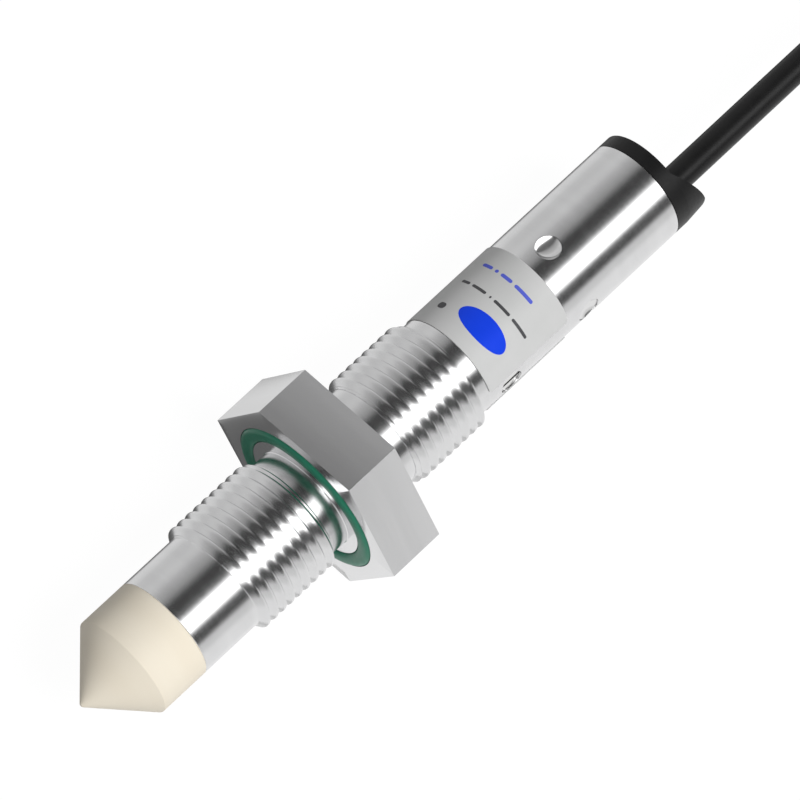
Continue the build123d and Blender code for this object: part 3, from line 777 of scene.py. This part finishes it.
def window_piece(number, angle):
    """One window, turned about X and then stood upright at its angle."""
    dish_centre = plug_top + math.sqrt(dish_radius**2 - plug_radius**2)
    dish_half_angle = math.degrees(math.asin(plug_radius / dish_radius))
    profile = [(plug_bottom, 0.0), (plug_bottom, plug_radius)]
    profile += arc(dish_centre, 0, dish_radius, 180 - dish_half_angle, 180, dish_steps)
    turn = Matrix.Rotation(math.radians(angle), 4, "X") @ Matrix.Rotation(math.radians(90), 4, "Z")
    place = Matrix.Translation((window_x * mm, 0, 0)) @ turn
    piece = lathe(f"window_piece_{number}", profile, window_plastic, closed=False,
                  segments=plug_segments, place=place)
    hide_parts(f"led_window_{number}")


for window_index in range(window_count):
    window_piece(window_index + 1, 360 * window_index / window_count)

# Label film, and the ink of the plain fields of colour on it
label_start = 18.3
label_end = 28.45
label_from_angle = -159.5
label_to_angle = 164.5
label_bottom = 5.27
label_top = 5.35
label_corner = 0.4
ink = 0.012
film_smooth_angle = 40.0
film_step_angle = 1.5
least_film_steps = 8
film_corner_marks = (0.03, 0.13, 0.3, 0.5, 0.75, 1)
bar_corner_share = 0.48
oval_steps = 64
oval_end_half_width = 0.002


def bent_strip(name, sections, inner, outer, material):
    """A thin piece bent round the barrel, from sections of (angle, lower x, upper x)."""
    vertices = []
    for angle, low, high in sections:
        for x, radius in ((low, inner), (high, inner), (high, outer), (low, outer)):
            vertices.append(polar(x, radius, angle))
    faces = []
    for i in range(len(sections) - 1):
        for k in range(4):
            a = i * 4 + k
            b = i * 4 + (k + 1) % 4
            faces.append((a, b, b + 4, a + 4))
    faces += [(0, 1, 2, 3), tuple(len(vertices) - 4 + k for k in range(4))]
    return finish_mesh(name, mesh_from(vertices, faces, name), material, film_smooth_angle)


def wrapped_patch(name, x_start, x_end, from_angle, to_angle, inner, outer, corner, material):
    """A four-sided piece bent round the barrel, its corners rounded."""
    steps = max(least_film_steps, int(abs(to_angle - from_angle) / film_step_angle))
    corner_angle = math.degrees(corner / outer)
    marks = sorted({from_angle + (to_angle - from_angle) * i / steps for i in range(steps + 1)}
                   | {from_angle + corner_angle * t for t in film_corner_marks}
                   | {to_angle - corner_angle * t for t in film_corner_marks})
    sections = []
    for angle in marks:
        off = min(angle - from_angle, to_angle - angle)
        inset = 0.0
        if off < corner_angle:
            share = 1 - off / corner_angle
            inset = corner * (1 - math.sqrt(max(0.0, 1 - share**2)))
        sections.append((angle, x_start + inset, x_end - inset))
    return bent_strip(name, sections, inner, outer, material)


def printed_bar(name, x_middle, width, from_angle, to_angle, material):
    """A short bar of ink with round ends."""
    wrapped_patch(name, x_middle - width / 2, x_middle + width / 2, from_angle, to_angle,
                  label_top - ink, label_top + ink, width * bar_corner_share, material)


def printed_oval(name, x_middle, length, from_angle, to_angle, material):
    """An oval field of colour bent round the label."""
    sections = []
    for i in range(oval_steps + 1):
        across = -math.cos(math.pi * i / oval_steps)
        angle = (from_angle + to_angle) / 2 + across * (to_angle - from_angle) / 2
        reach = length / 2 * math.sqrt(max(0.0, 1 - across**2)) + oval_end_half_width
        sections.append((angle, x_middle - reach, x_middle + reach))
    bent_strip(name, sections, label_top - ink, label_top + ink, material)


# Plain fields of colour: their places along the axis, their widths, and where they run in degrees
oval_x = 21.2
oval_length = 2.5
oval_from_angle = 75
oval_to_angle = 137
mark_x = 20.6
mark_width = 0.7
mark_from_angle = 50
mark_to_angle = 60
dark_bar_x = 23.8
dark_bar_width = 0.3
dark_bar_angles = [(48, 60), (64, 82), (87, 89), (93, 114), (118, 142)]
blue_bar_x = 26.2
blue_bar_width = 0.36
blue_bar_angles = [(52, 66), (70, 74), (78, 92), (96, 120)]

label = wrapped_patch("label_piece", label_start, label_end, label_from_angle, label_to_angle,
                      label_bottom, label_top, label_corner, label_film)
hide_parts("label")
printed_oval("print_band", oval_x, oval_length, oval_from_angle, oval_to_angle, print_blue)
printed_bar("print_mark", mark_x, mark_width, mark_from_angle, mark_to_angle, print_dark)
for bar_index, (bar_start, bar_end) in enumerate(dark_bar_angles):
    printed_bar(f"print_line_{bar_index + 1}", dark_bar_x, dark_bar_width, bar_start, bar_end, print_dark)
for bar_index, (bar_start, bar_end) in enumerate(blue_bar_angles):
    printed_bar(f"print_row_{bar_index + 1}", blue_bar_x, blue_bar_width, bar_start, bar_end, print_text_blue)

# CAD nodes that keep their shape get their finishes
finishes = {
    "sensing_electrode": brass,
    "guard_ring": brass,
    "electrode_pin": brass,
    "guard_lead": tinned,
    "insulator_spool": insulator,
    "board_holder": cap_plastic,
    "circuit_board": laminate,
    "oscillator_chip": chip_black,
    "controller_chip": chip_black,
    "voltage_regulator": chip_black,
    "output_transistor": chip_black,
    "protection_diode": chip_black,
    "chip_capacitors": ceramic,
    "chip_resistors": ceramic,
    "solder_pads": tinned,
    "status_led_near": lamp_plastic,
    "status_led_far": lamp_plastic,
    "light_guide": guide_plastic,
    "trimmer_body": trimmer_plastic,
    "trimmer_screw": trimmer_metal,
    "end_cap": cap_plastic,
    "cable_ferrule": tinned,
    "inner_core_brown": brown_core,
    "inner_core_black": black_core,
    "inner_core_blue": blue_core,
    "cable_tie": tie_plastic,
    "core_brown": brown_core,
    "core_black": black_core,
    "core_blue": blue_core,
    "wire_tips": tinned,
}
for node_name, finish in finishes.items():
    node_materials = nodes[node_name].data.materials
    node_materials.clear()
    node_materials.append(finish)


def calculated(tree, operation, *values):
    """A number worked out from links and plain numbers."""
    node = tree.nodes.new("ShaderNodeMath")
    node.operation = operation
    for socket, value in zip(node.inputs, values):
        if isinstance(value, float):
            socket.default_value = value
        else:
            tree.links.new(value, socket)
    return node.outputs["Value"]


def axes_of(tree, vector):
    """The X, Y and Z of a vector."""
    node = tree.nodes.new("ShaderNodeSeparateXYZ")
    tree.links.new(vector, node.inputs["Vector"])
    return node.outputs


def grey_ramp(tree, value, levels):
    """A grey that runs through (place from 0 to 1, level) pairs."""
    node = tree.nodes.new("ShaderNodeValToRGB")
    elements = node.color_ramp.elements
    elements.remove(elements[0])
    elements[0].position = levels[0][0]
    for index, (place, level) in enumerate(levels):
        element = elements[0] if index == 0 else elements.new(place)
        element.color = (level, level, level, 1.0)
    tree.links.new(value, node.inputs["Fac"])
    return node.outputs["Color"]


def glow(tree, kind, strength, colour=None):
    """White light, or light of a linked colour, from a background or an emission."""
    node = tree.nodes.new(kind)
    node.inputs["Color"].default_value = (1.0, 1.0, 1.0, 1.0)
    node.inputs["Strength"].default_value = strength
    if colour is not None:
        tree.links.new(colour, node.inputs["Color"])
    return node.outputs[0]


def mixed(tree, share, first, second):
    """Two shaders mixed by a share."""
    node = tree.nodes.new("ShaderNodeMixShader")
    tree.links.new(share, node.inputs["Fac"])
    tree.links.new(first, node.inputs[1])
    tree.links.new(second, node.inputs[2])
    return node.outputs["Shader"]


def by_ray(tree, plain, reflected, seen):
    """One shader in plain light, one in reflections, and one to the camera and through clear pieces."""
    paths = tree.nodes.new("ShaderNodeLightPath")
    plain_or_reflected = mixed(tree, paths.outputs["Is Glossy Ray"], plain, reflected)
    camera_ray = paths.outputs["Is Camera Ray"]
    seen_or_through = calculated(tree, "MAXIMUM", camera_ray, paths.outputs["Is Transmission Ray"])
    return mixed(tree, seen_or_through, plain_or_reflected, seen)


# World: bands of a light tent by the angle in degrees about the sensor's axis, seen in reflections
bands = [
    (0, 0.70), (12, 0.66), (31, 0.71), (41, 0.67), (51, 0.53), (61, 0.45), (71, 0.36), (79, 0.19),
    (86, 0.06), (101, 0.06), (113, 0.13), (119, 0.55), (124, 2.4), (148, 2.4), (153, 0.55), (158, 0.09),
    (174, 0.07), (180, 0.25), (187, 0.70), (360, 0.70),
]
brightest = 2.4
plain_strength = 0.235

# The bands lean a little along the axis; straight_x is the X of what the barrel reflects
band_slant = 8.0
straight_x = 0.321


def make_world():
    """The light tent: bands in reflections, an even grey for plain light, white behind the object."""
    world = bpy.data.worlds.new("studio")
    scene.world = world
    world.use_nodes = True
    world.cycles.sampling_method = "NONE"
    sky = world.node_tree
    sky.nodes.clear()
    direction = axes_of(sky, sky.nodes.new("ShaderNodeTexCoord").outputs["Generated"])
    around = calculated(sky, "ARCTAN2", direction["Z"], direction["Y"])
    turn_share = calculated(sky, "DIVIDE", around, 2 * math.pi)
    slant = calculated(sky, "MULTIPLY_ADD", direction["X"], -band_slant / 360, band_slant * straight_x / 360)
    slanted = calculated(sky, "ADD", turn_share, slant)
    wrapped = calculated(sky, "FRACT", slanted)
    levels = [(angle / 360, level / brightest) for angle, level in bands]
    reflected = glow(sky, "ShaderNodeBackground", brightest, grey_ramp(sky, wrapped, levels))
    plain = glow(sky, "ShaderNodeBackground", plain_strength)
    backdrop = glow(sky, "ShaderNodeBackground", 1.0)
    world_out = sky.nodes.new("ShaderNodeOutputWorld")
    sky.links.new(by_ray(sky, plain, reflected, backdrop), world_out.inputs["Surface"])


make_world()

# Painted reflection: what metal sees in the floor, a glow by the distance to the side in millimetres; the
# dark stripe from 6 to 15 mm is painted shade of the object on the floor
floor_painted_reflection_levels = [
    (-600, 0.30), (-150, 0.72), (-110, 0.76), (-40, 0.78), (-24, 0.97), (-2, 0.95), (3, 0.75), (6, 0.145),
    (15, 0.145), (18.5, 0.80), (28, 0.82), (60, 0.77), (92, 0.75), (300, 0.66),
]

# The floor's half width and where the trace of shadow on it fades, in metres
floor_reach = 3.0
floor_grey = 0.8
floor_roughness = 0.9
floor_white = 1.06
shadow_share = 0.09
shadow_fade_start = 0.2
shadow_fade_end = 0.4


def floor_finish():
    """White to the camera with a soft trace of the object's shadow near it, and in reflections a painted glow
    by the distance to the side, with a painted dark stripe of shade.
    """
    material, tree, shader = new_material("floor_white")
    shader.inputs["Base Color"].default_value = (floor_grey, floor_grey, floor_grey, 1.0)
    shader.inputs["Roughness"].default_value = floor_roughness
    shader.inputs["Specular IOR Level"].default_value = 0.0
    place = object_place(tree, (1.0, 1.0, 1.0))
    low = floor_painted_reflection_levels[0][0]
    high = floor_painted_reflection_levels[-1][0]
    sideways = mapped(tree, axes_of(tree, place)["Y"], 0.0, 1.0, low * mm, high * mm)
    levels = [((side - low) / (high - low), level) for side, level in floor_painted_reflection_levels]
    # Painted reflection and painted shade: in reflections the floor glows by this ramp, its dark stripe
    # standing in for the object's shade on the floor
    painted_floor_reflection = glow(tree, "ShaderNodeEmission", 1.0, grey_ramp(tree, sideways, levels))
    white = glow(tree, "ShaderNodeEmission", floor_white)
    away = tree.nodes.new("ShaderNodeVectorMath")
    away.operation = "LENGTH"
    tree.links.new(place, away.inputs[0])
    share = mapped(tree, away.outputs["Value"], shadow_share, 0.0, shadow_fade_start, shadow_fade_end)
    seen_floor = mixed(tree, share, white, shader.outputs["BSDF"])
    surface = by_ray(tree, shader.outputs["BSDF"], painted_floor_reflection, seen_floor)
    tree.links.new(surface, tree.nodes["Material Output"].inputs["Surface"])
    return material


def make_floor():
    """The floor, under the hexagon's lower flat."""
    corners = [(-floor_reach, -floor_reach), (floor_reach, -floor_reach), (floor_reach, floor_reach),
               (-floor_reach, floor_reach)]
    floor_mesh = bpy.data.meshes.new("floor")
    floor_mesh.from_pydata([(x, y, floor_z * mm) for x, y in corners], [], [(0, 1, 2, 3)])
    floor = bpy.data.objects.new("floor", floor_mesh)
    scene.collection.objects.link(floor)
    floor_mesh.materials.append(floor_finish())


make_floor()

# One soft lamp, above and to the right, gives the matt pieces their shape; its places are in metres
lamp_size = 0.3
lamp_energy = 3.15
lamp_place = (0.03, -0.395, 0.475)
lamp_target = Vector((0.01, 0, 0))


def make_lamp():
    """A square area lamp that reflections don't show."""
    lamp_data = bpy.data.lights.new("soft_lamp", "AREA")
    lamp_data.shape = "RECTANGLE"
    lamp_data.size = lamp_size
    lamp_data.size_y = lamp_size
    lamp_data.energy = lamp_energy
    lamp = bpy.data.objects.new("soft_lamp", lamp_data)
    scene.collection.objects.link(lamp)
    lamp.location = lamp_place
    lamp.rotation_euler = (lamp_target - lamp.location).to_track_quat("-Z", "Y").to_euler()
    lamp.visible_glossy = False


make_lamp()

scene.view_settings.view_transform = "Standard"
